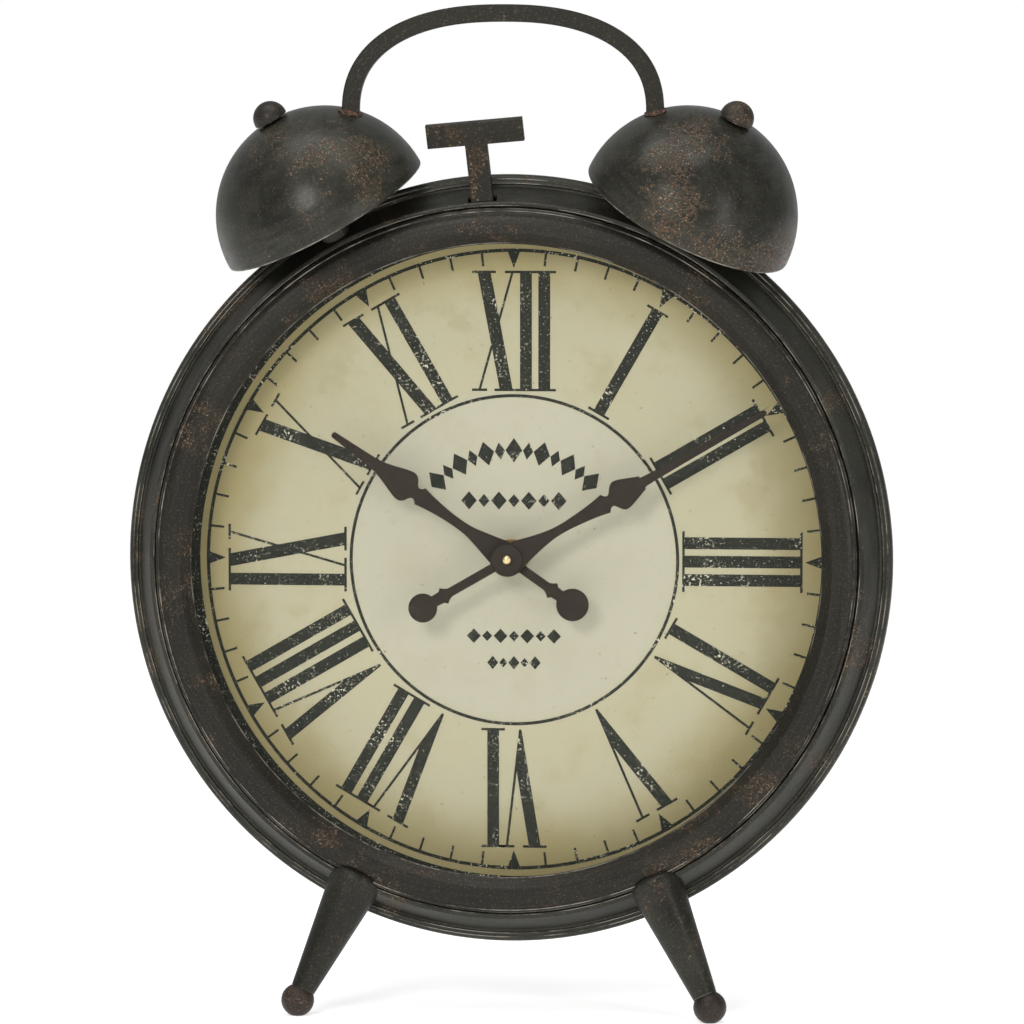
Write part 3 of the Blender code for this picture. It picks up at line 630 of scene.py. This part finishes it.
def slot_finishes():
    """A finish for each material slot of the record."""
    return {
        "aged_steel": aged_metal("aged_steel", lines=(700.0, 5.0)),
        "dark_steel": aged_metal("dark_steel", base=linear(46, 43, 39), pale=linear(64, 61, 56),
                                 deep=linear(30, 28, 25), seed=0.31, gloss=0.5),
        "paper": paper(),
        "glass": glass(),
        "rubber": moulded("black_rubber", linear(26, 26, 26), linear(38, 37, 36), 0.85),
        "brass": bright_metal("brass", linear(176, 138, 70), linear(214, 180, 112)),
        "zinc": bright_metal("zinc_plate", linear(150, 150, 146), linear(186, 186, 182)),
        "black_plastic": moulded("black_plastic", linear(30, 30, 31), linear(42, 42, 43), 0.5),
        "white_plastic": moulded("white_plastic", linear(206, 204, 196), linear(222, 220, 212)),
        "copper": wound_copper(),
        "green_board": moulded("green_board", linear(24, 84, 48), linear(34, 102, 60), 0.42),
        "battery_jacket": moulded("battery_jacket", linear(42, 46, 52), linear(58, 62, 70), 0.36),
    }


# ---------------------------------------------------------------- pieces

def settle(piece, finish, node, body="case"):
    """Give a piece its finish, and let it stand for a CAD node and ride with its body."""
    piece.data.materials.clear()
    piece.data.materials.append(finish)
    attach(piece, body)
    if node:
        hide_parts(node)
    return piece


def case_envelope(clearance):
    """The outside of the case front and drum with a clearance, as a cutter."""
    face = grown(BEZEL_FACE + BAND_FACE, clearance)
    drum = DRUM_RADIUS + clearance
    core = 120.0
    back = [(drum, face[-1][1] + SHEET), (drum, BACK_DEPTH), (core, BACK_DEPTH), (core, face[0][1])]
    return ring("case_envelope", face + back)


def build_case():
    """The bezel, with the band and the drum behind it."""
    skin = grown(BEZEL_FACE, -SHEET)
    skin[-1] = (175.7, 3.4)
    bezel = ring("bezel_turned", softened(BEZEL_FACE) + skin[::-1])
    finish = aged_metal("bezel_metal", base=linear(29, 27, 22), pale=linear(44, 42, 35),
                        deep=linear(24, 23, 19), lines=(900.0, 4.0), rust_reach=0.52,
                        wear=[("radius", 174.9, 0.35), ("radius", 176.2, 0.25),
                              ("radius", 159.0, 0.3)], seed=0.05, gloss=0.40)
    settle(bezel, finish, "bezel")
    build_band()
    build_drum()


def build_band():
    """The conical band with its beads and the striker's slot."""
    skin = grown(BAND_FACE, -SHEET)
    skin[0] = (176.6, 5.1)
    skin[-1] = (190.8, 24.0)
    tuck = [(189.9, 21.4), (184.1, 21.0)]
    inner = skin[:5] + [(184.1, 18.0)]
    band = ring("case_ring_turned", softened(BAND_FACE) + [skin[-1]] + tuck + inner[::-1])
    depth = STRIKER_THICK / 2 + 0.45
    slot_edge = [(-SLOT_HALF, -depth), (SLOT_HALF, -depth), (SLOT_HALF, depth), (-SLOT_HALF, depth)]
    top = striker_frame() @ Matrix.Translation((0.0, 0.0, 20.0 * MM))
    carve(band, plate("striker_slot", [slot_edge], 15.4, top))
    finish = aged_metal("band_metal", lines=(650.0, 5.0), rust_reach=0.54,
                        wear=[("radius", 177.6, 0.3), ("radius", 188.5, 0.3),
                              ("radius", 190.7, 0.35), ("radius", 193.0, 0.25)],
                        seed=0.12, gloss=0.42)
    settle(band, finish, "case_ring")


def build_drum():
    """The rear shell, with the dial's seat rolled into its wall."""
    wall = DRUM_RADIUS - 1.2
    seat = DIAL_FRONT + DIAL_THICK + GAP
    rounded_back = [(radius, -height) for radius, height in arc(
        1.5, 0.0, -90.0, 6, DRUM_RADIUS - 1.5, -(BACK_DEPTH - 3.0))]
    drum_profile = [(DRUM_RADIUS, DRUM_FRONT)] + rounded_back + [
        (FLANGE_INNER, BACK_DEPTH - 1.5), (FLANGE_INNER, BACK_DEPTH - 2.7), (wall, BACK_DEPTH - 2.7),
        (wall, seat + 3.0), (wall - 3.3, seat + 1.6), (wall - 3.3, seat), (wall, seat),
        (wall, DRUM_FRONT)]
    drum = ring("case_drum_turned", drum_profile)
    finish = aged_metal("drum_metal", lines=(300.0, 4.0), seed=0.2, gloss=0.46)
    settle(drum, finish, "case_drum")


def numeral_strokes(text):
    """Outlines of a Roman numeral's strokes, with its tops outwards and X to the right."""
    low, high = NUMERAL_SPAN
    half, hair = BAR / 2, HAIR / 2
    width = sum(sum(LETTER_SIDES[letter]) for letter in text) + NUMERAL_GAP * (len(text) - 1)
    at = -width / 2
    strokes = []

    def bar(top_x, low_x, top_half, low_half, top):
        strokes.append(([(top_x - top_half, high), (low_x - low_half, low),
                         (low_x + low_half, low), (top_x + top_half, high)], top))

    def serif(x, y, reach):
        top = 0.04 + 0.0007 * (x % 7)
        strokes.append(([(x - reach, y - hair), (x + reach, y - hair),
                         (x + reach, y + hair), (x - reach, y + hair)], top))

    for letter in text:
        left, right = LETTER_SIDES[letter]
        x = at + left
        if letter == "I":
            bar(x, x, half, half, THICK_TOP)
            serif(x, high, BAR_SERIF)
            serif(x, low, BAR_SERIF)
        elif letter == "V":
            lean = (x + 5.4 - half, high - 0.665 * (high - low))
            strokes.append(([(x - V_ARM - half, high), (x - 0.3, low), (x + 0.7, low), lean,
                             (x - V_ARM + half, high)], THICK_TOP))
            bar(x + V_ARM, x + 0.3, hair, hair, THIN_TOP)
            serif(x - V_ARM, high, BAR_SERIF)
            serif(x + V_ARM, high, HAIR_SERIF)
        else:
            thick_high, thick_low = (x + end for end in X_THICK_ENDS)
            thin_high, thin_low = (x + end for end in X_THIN_ENDS)
            bar(thick_high, thick_low, half + 0.3, half + 0.3, THICK_TOP)
            bar(thin_high, thin_low, hair, hair, THIN_TOP)
            serif(thick_high, high, BAR_SERIF)
            serif(thick_low, low, BAR_SERIF)
            serif(thin_high, high, HAIR_SERIF)
            serif(thin_low, low, HAIR_SERIF)
        at += left + right + NUMERAL_GAP
    return strokes


def spun(points, angle):
    """Dial points turned clockwise by an angle."""
    c, s = math.cos(math.radians(angle)), math.sin(math.radians(angle))
    return [(x * c + y * s, y * c - x * s) for x, y in points]


def lozenge(half_width, half_height, x, y):
    return [(x - half_width, y), (x, y - half_height), (x + half_width, y), (x, y + half_height)]


def circle(radius, count=24):
    """A closed outline of evenly spaced points."""
    return arc(radius, 0.0, 360.0 * (count - 1) / count, count)


def build_dial():
    """The disc and its print: numerals, minute track, circles and ornaments."""
    disc = [circle(DRUM_RADIUS - 1.5, RING_STEPS), circle(4.3)]
    face = plate("dial_disc", disc, DIAL_THICK, facing_frame(0.0, 0.0, DIAL_FRONT))
    settle(face, paper(), "dial")

    frame = facing_frame(*PRINT_AT, DIAL_FRONT)
    black = ink()
    strokes = []
    for hour, text in enumerate(NUMERALS):
        for outline, top in numeral_strokes(text):
            strokes.append((spun(outline, 30.0 * hour), top))
    settle(prisms("dial_numerals", strokes, frame), black, None)

    settle(prisms("dial_minute_marks", minute_marks(), frame), black, None)
    for label, (inner, outer) in (("inner_circle", INNER_CIRCLE), ("minute_circle", MINUTE_CIRCLE),
                                  ("border", BORDER)):
        profile = [(inner, INK_BOTTOM), (outer, INK_BOTTOM), (outer, THIN_TOP), (inner, THIN_TOP)]
        settle(lathe(f"dial_{label}", profile, RING_STEPS, frame), black, None)
    settle(prisms("dial_ornaments", ornaments(), frame), black, None)


def minute_marks():
    """The ticks of the minute track, with a wedge at each hour."""
    marks = []
    rim = MINUTE_CIRCLE[0] + 0.3
    for minute in range(60):
        if minute % 5:
            half, end = TICK_WIDTH / 2, rim - TICK_LENGTH
            mark = [(-half, end), (half, end), (half, rim), (-half, rim)]
        else:
            mark = [(0.0, rim - MARKER_LENGTH), (MARKER_WIDTH / 2, rim), (-MARKER_WIDTH / 2, rim)]
        marks.append((spun(mark, 6.0 * minute), MARK_TOP))
    return marks


def ornaments():
    """Lozenges in an arched row over the arbor and in straight rows."""
    beads = []
    arch, pitch = ORNAMENT_ARC
    for step in range(-6, 7):
        tall = 6.2 if step % 2 == 0 else 4.4
        wide = 4.3 if step % 2 == 0 else 2.6
        beads.append((spun(lozenge(wide, tall, 0.0, arch), pitch * step), MARK_TOP))
    for up, count, pitch, tall in ORNAMENT_ROWS:
        for step in range(count):
            x = (step - (count - 1) / 2) * pitch
            small = 1.0 if step % 2 == 0 else 0.72
            beads.append((lozenge(pitch * 0.52 * small, tall * small, x, up), MARK_TOP))
    return beads


def build_bell(side, label):
    """A spun dome with its ball nut; side is -1 on the left and 1 on the right."""
    frame = bell_frame(side)
    bore = STUD_RADIUS + GAP
    inner_radius = BELL_RIM_RADIUS - BELL_WALL
    start = math.degrees(math.acos(bore / BELL_RIM_RADIUS))
    outer = arc(BELL_RIM_RADIUS, start, 1.0, 40)
    inner = arc(inner_radius, start, 1.0, 40)[::-1]
    lip = [(BELL_RIM_RADIUS - 0.1, 0.2), (BELL_RIM_RADIUS - 0.6, 0.0), (inner_radius + 0.1, 0.2)]
    bell = lathe(f"bell_{label}_spun", outer + lip + inner, 128, frame)
    finish = aged_metal(f"bell_{label}_metal", lines=(520.0, 3.0), rust_reach=0.49,
                        wear=[("height", 0.4, 0.7)], wear_strength=0.6,
                        seed=0.4 + 0.3 * side, gloss=0.31)
    settle(bell, finish, f"bell_{label}")

    seat, middle = BELL_RIM_RADIUS + GAP, BELL_RIM_RADIUS + 1.5
    ball = arc(BALL_NUT_RADIUS, -4.0, 88.0, 20, 0.0, middle)
    top = BELL_RIM_RADIUS + 5.0 + GAP
    nut = [(5.4, seat), (5.6, seat + 0.3)] + ball + [(0.0, middle + BALL_NUT_RADIUS), (0.0, top),
                                                   (bore, top), (bore, seat)]
    knob = lathe(f"bell_ball_nut_{label}_turned", nut, 64, frame)
    finish = aged_metal(f"ball_nut_{label}_metal", base=linear(46, 42, 38), rust_reach=0.50,
                        seed=0.9 + side * 0.2, gloss=0.44)
    settle(knob, finish, f"bell_ball_nut_{label}")


def handle_line(offset, count=97):
    """The handle's arch: a superellipse, moved outwards by an offset."""
    points, power = [], 2.0 / HANDLE_SQUARENESS
    for i in range(count):
        turn = math.pi * i / (count - 1)
        c, s = math.cos(turn), max(math.sin(turn), 0.0)
        points.append((math.copysign(abs(c) ** power, c) * HANDLE_HALF_SPAN,
                       s ** power * HANDLE_RISE))
    moved = []
    for i, (x, y) in enumerate(points):
        before, after = points[max(i - 1, 0)], points[min(i + 1, count - 1)]
        run = math.hypot(after[0] - before[0], after[1] - before[1])
        moved.append((x + offset * (after[1] - before[1]) / run,
                      y - offset * (after[0] - before[0]) / run))
    return moved


def build_handle():
    """The arched bar, cut to sit on both domes, with a bead of weld at each foot."""
    half, below = HANDLE_WIDTH / 2, 6.0
    outer, inner = handle_line(half), handle_line(-half)
    outline = outer + [(outer[-1][0], -below), (inner[-1][0], -below)] + inner[::-1]
    outline += [(inner[0][0], -below), (outer[0][0], -below)]
    frame = facing_frame(0.0, HANDLE_FOOT_HEIGHT - AXIS_HEIGHT, HANDLE_DEPTH - HANDLE_THICK / 2)
    handle = plate("handle_bar", [outline], HANDLE_THICK, frame, 0.7)
    for side in (-1, 1):
        ball = [(0.0, BELL_RIM_RADIUS + GAP)] + arc(BELL_RIM_RADIUS + GAP, 85.0, 0.0, 24)
        carve(handle, lathe("dome_space", ball + [(0.0, 0.0)], 96, bell_frame(side)))
    handle.data.set_sharp_from_angle(angle=math.radians(FLAT_ANGLE))
    brown = aged_metal("handle_metal", base=linear(29, 28, 22), pale=linear(44, 42, 34),
                       deep=linear(24, 23, 19), rust_reach=0.56, edges=True, seed=0.7, gloss=0.46)
    settle(handle, brown, "handle")

    weld = aged_metal("weld_metal", base=linear(60, 50, 44), pale=linear(88, 78, 70),
                      rust=linear(120, 84, 66), rust_reach=0.40, seed=1.3, gloss=0.5)
    for side, label in ((-1, "left"), (1, "right")):
        centre = bell_frame(side).to_translation()
        foot = place(side * HANDLE_HALF_SPAN, HANDLE_DEPTH, 0.0)
        reach = (BELL_RIM_RADIUS + GAP) * MM
        rise = math.sqrt(reach ** 2 - (foot.x - centre.x) ** 2 - (foot.y - centre.y) ** 2)
        foot.z = centre.z + rise
        tilt = Vector((foot - centre)).to_track_quat("Z", "Y").to_matrix().to_4x4()
        bead = lump(f"handle_weld_{label}", (6.6, 5.2, 1.5), Matrix.Translation(foot) @ tilt,
                    3.0 + side)
        settle(bead, weld, None)


def build_striker():
    """The flat tee on its pivot."""
    flat = striker_frame() @ Matrix.Rotation(math.radians(90.0), 4, "X")
    face = flat @ Matrix.Translation((0.0, 0.0, STRIKER_THICK / 2 * MM))
    stem, bar, shoulder, foot = STEM_WIDTH / 2, BAR_WIDTH / 2, 5.0, 4.0
    bar_low = STRIKER_HEIGHT - BAR_HEIGHT
    outline = arc(foot, 180.0, 360.0, 17) + [
        (foot, shoulder - 1.0), (stem, shoulder), (stem, bar_low), (bar, bar_low),
        (bar, STRIKER_HEIGHT), (-bar, STRIKER_HEIGHT), (-bar, bar_low), (-stem, bar_low),
        (-stem, shoulder), (-foot, shoulder - 1.0)]
    tee = plate("hammer_tee", [outline, circle(1.8)], STRIKER_THICK, face, 0.5)
    finish = aged_metal("hammer_metal", base=linear(34, 32, 26), pale=linear(48, 45, 37),
                        deep=linear(23, 21, 17), rust=linear(78, 58, 36), rust_reach=0.54,
                        edges=True, seed=1.7, gloss=0.44)
    settle(tee, finish, "hammer", "hammer")


def build_leg(side, label):
    """A tapered leg, cut to the case and to its ball foot."""
    centre_up = math.sqrt(FOOT_RADIUS ** 2 - FOOT_FLAT ** 2)
    centre = place(side * FOOT_X, FOOT_DEPTH, centre_up)
    frame = leaning_frame(centre, 180.0 - side * LEG_ANGLE, LEG_LEAN)
    flat_angle = -math.degrees(math.acos(FOOT_FLAT / FOOT_RADIUS))
    ball_arc = arc(FOOT_RADIUS, 89.0, flat_angle, 36)
    ball = [(0.0, FOOT_RADIUS)] + ball_arc + [(0.0, ball_arc[-1][1])]
    foot = lathe(f"foot_ball_{label}_turned", ball, 64, Matrix.Translation(centre))
    finish = aged_metal(f"foot_{label}_metal", base=linear(46, 40, 36), pale=linear(60, 53, 47),
                        deep=linear(30, 26, 24), rust=linear(74, 56, 46), rust_reach=0.48,
                        seed=2.1 + side * 0.4, gloss=0.44)
    settle(foot, finish, f"foot_ball_{label}")

    cone = [(0.0, -3.0)]
    steps = 24
    for step in range(steps + 1):
        along = step / steps
        radius = LEG_END_RADIUS - 0.4 + (LEG_TOP_RADIUS + 1.1 - LEG_END_RADIUS) * along
        cone.append((radius, -3.0 - (LEG_LENGTH - 3.0) * along))
    end = cone[-1][0]
    cone += [(end - 0.3, -LEG_LENGTH - 1.0), (end - 1.2, -LEG_LENGTH - 2.0),
             (end - 3.0, -LEG_LENGTH - 2.8), (end - 6.0, -LEG_LENGTH - 3.3),
             (0.0, -LEG_LENGTH - 3.6)]
    leg = lathe(f"leg_{label}_cone", cone, 96, frame)
    space = arc(FOOT_RADIUS + GAP, 84.0, -84.0, 32)
    space = [(0.0, space[0][1])] + space + [(0.0, space[-1][1])]
    carve(leg, lathe("foot_space", space, 64, Matrix.Translation(centre)))
    carve(leg, case_envelope(GAP))
    finish = aged_metal(f"leg_{label}_metal", rust=linear(78, 56, 48), rust_reach=0.52,
                        wear=[("height", -5.6, 0.9)], seed=2.9 + side * 0.3, gloss=0.40)
    settle(leg, finish, f"leg_{label}")


def hand_outline(blade, tail):
    """Edge of a hand pointing up: its blade, the hub and a tail with a collar and a ball."""
    collar, ball_at, ball = tail
    hub = math.degrees(math.asin(TAIL_HALF / HUB_RADIUS))
    gap_angle = math.degrees(math.asin(TAIL_NECK / ball))
    left = softened([(-half, along) for along, half in blade[:COLLAR_CORNER + 1]], 4)
    left += softened([(-half, along) for along, half in blade[COLLAR_CORNER:]], 4)[1:]
    left += arc(HUB_RADIUS, 150.0, 270.0 - hub, 20)
    left += [(-TAIL_HALF, -(collar - 3.4)), (-TAIL_HALF - 0.9, -(collar - 1.6)), (-4.5, -collar),
             (-3.1, -(collar + 1.4))]
    left += arc(ball, 90.0 + gap_angle, 270.0, 33, 0.0, -ball_at)
    right = [(-x, y) for x, y in left[:-1][::-1]]
    return left + right


def build_hands():
    """Both hands with the washer and the nut in front of them."""
    finish = aged_metal("hand_metal", base=linear(44, 38, 31), pale=linear(56, 48, 41),
                        deep=linear(38, 32, 27), rust=linear(66, 52, 42), rust_reach=0.56,
                        edges=True, wear_strength=0.35, seed=3.7, gloss=0.5)
    hour = plate("hour_hand_blade",
                 [hand_outline(HOUR_BLADE, HOUR_TAIL), circle(HOUR_PIPE_HOLE)],
                 HAND_THICK, facing_frame(0.0, 0.0, HOUR_FRONT, HOUR_ANGLE), 0.15)
    settle(hour, finish, "hour_hand", "hour_hand")
    minute = plate("minute_hand_blade",
                   [hand_outline(MINUTE_BLADE, MINUTE_TAIL), circle(ARBOR_HOLE)],
                   HAND_THICK, facing_frame(0.0, 0.0, MINUTE_FRONT, MINUTE_ANGLE), 0.15)
    settle(minute, finish, "minute_hand", "minute_hand")
    washer = ring("hand_washer_turned", [(1.8, 14.4), (7.2, 14.4), (7.6, 14.5), (7.8, 14.8),
                                         (7.8, 15.2), (1.8, 15.2)], 64)
    settle(washer, finish, "hand_washer", "minute_hand")
    cap = [(0.0, 12.6), (1.0, 12.65), (1.7, 12.9), (2.15, 13.3), (2.3, 13.8), (2.3, 14.1),
           (1.8, 14.1), (1.8, 13.5), (0.0, 13.5)]
    nut = ring("hand_nut_turned", cap, 48)
    settle(nut, bright_metal("nut_brass", linear(196, 168, 110), linear(232, 212, 168)),
           "hand_nut", "minute_hand")


def dress_frame(frame):
    """Give every CAD node that is still shown the finish of its material slot."""
    finishes = slot_finishes()
    slots = {}
    for entry in frame["record"]["materials"]:
        for node in entry.get("nodes", []):
            slots[node] = entry["slot"]
    for name, obj in frame["nodes"].items():
        slot = slots.get(name) or obj.data.materials[0].name.split(".")[0]
        finish = finishes.get(slot, finishes["dark_steel"])
        for index in range(len(obj.data.materials)):
            obj.material_slots[index].material = finish


# ---------------------------------------------------------------- stage

def area_light(name, position, size, power):
    data = bpy.data.lights.new(name, "AREA")
    data.shape = "RECTANGLE"
    data.size, data.size_y = size
    data.energy = power
    obj = bpy.data.objects.new(name, data)
    obj.location = position
    aim = Vector(LIGHT_TARGET) - Vector(position)
    obj.rotation_euler = aim.to_track_quat("-Z", "Y").to_euler()
    bpy.context.scene.collection.objects.link(obj)


def build_stage():
    """A pale floor under soft light, in a white room."""
    work = bmesh.new()
    bmesh.ops.create_grid(work, x_segments=1, y_segments=1, size=6.0)
    floor = finished("floor", work, Matrix.Identity(4))
    pale = Finish("pale_floor")
    cloud = pale.noise(2.0, 2.0)
    colour = pale.mix(cloud, (0.96, 0.96, 0.96, 1.0), (0.98, 0.98, 0.98, 1.0))
    floor.data.materials.append(pale.done(colour, 0.9, 0.0, None, Specular_IOR_Level=0.1,
                                          Emission_Color=(1.0, 1.0, 1.0, 1.0),
                                          Emission_Strength=FLOOR_GLOW))
    floor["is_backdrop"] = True

    for name, (position, size, power) in LIGHTS.items():
        area_light(name, position, size, power)

    world = bpy.data.worlds.new("studio")
    bpy.context.scene.world = world
    world.use_nodes = True
    tree = world.node_tree
    back = tree.nodes["Background"]
    seen = tree.nodes.new("ShaderNodeBackground")
    back.inputs["Color"].default_value = (1.0, 1.0, 1.0, 1.0)
    back.inputs["Strength"].default_value = WORLD_LIGHT
    seen.inputs["Color"].default_value = (1.0, 1.0, 1.0, 1.0)
    seen.inputs["Strength"].default_value = 1.0
    path = tree.nodes.new("ShaderNodeLightPath")
    blend = tree.nodes.new("ShaderNodeMixShader")
    tree.links.new(path.outputs["Is Camera Ray"], blend.inputs[0])
    tree.links.new(back.outputs[0], blend.inputs[1])
    tree.links.new(seen.outputs[0], blend.inputs[2])
    tree.links.new(blend.outputs[0], tree.nodes["World Output"].inputs[0])
    bpy.context.scene.view_settings.view_transform = "Standard"


def build_camera():
    """A long lens far off, a little right of the front and above it."""
    azimuth, elevation = math.radians(VIEW_AZIMUTH), math.radians(VIEW_ELEVATION)
    away = Vector((math.sin(azimuth) * math.cos(elevation),
                   -math.cos(azimuth) * math.cos(elevation), math.sin(elevation)))
    data = bpy.data.cameras.new("camera")
    data.lens = LENS
    data.sensor_width = 36.0
    camera = bpy.data.objects.new("camera", data)
    camera.location = Vector(VIEW_TARGET) + away * VIEW_DISTANCE
    camera.rotation_euler = (-away).to_track_quat("-Z", "Y").to_euler()
    bpy.context.scene.collection.objects.link(camera)
    bpy.context.scene.camera = camera


def corners(bounds):
    return [list(corner) for corner in bounds]


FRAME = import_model()
CAD_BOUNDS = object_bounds()
dress_frame(FRAME)
build_case()
build_dial()
for SIDE, LABEL in ((-1, "left"), (1, "right")):
    build_bell(SIDE, LABEL)
build_handle()
build_striker()
for SIDE, LABEL in ((-1, "left"), (1, "right")):
    build_leg(SIDE, LABEL)
build_hands()
build_stage()
build_camera()
{"cad": corners(CAD_BOUNDS), "visual": corners(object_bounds())}
